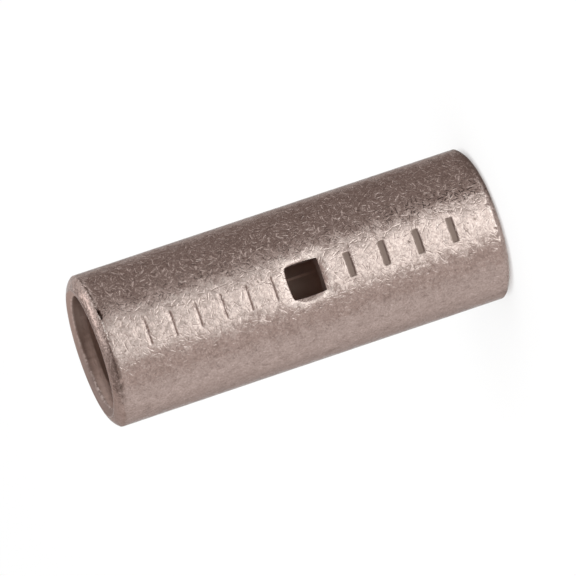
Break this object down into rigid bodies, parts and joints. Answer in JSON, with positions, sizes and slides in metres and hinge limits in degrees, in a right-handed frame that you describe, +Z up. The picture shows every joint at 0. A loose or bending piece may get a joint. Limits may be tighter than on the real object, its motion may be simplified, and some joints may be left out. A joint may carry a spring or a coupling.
{
  "type": "compression splice",
  "caption": "Short straight tinned copper tube with a through bore, softly bevelled ends and a square inspection window close to mid-length, pressed over cable ends to join them.",
  "frame": {"origin": "centre of the lower end of the tube, on the surface that it stands on", "axes": "+Z up along the tube's axis, -Y out of the inspection window, +X to the right seen from the window side"},
  "size_m": [0.012, 0.012, 0.0322],
  "materials": {
    "tinned_copper": "tumbled tin plating, satin with fine random scratches"
  },
  "bodies": {
    "root": {"sleeve": "tinned_copper"}
  },
  "joints": []
}
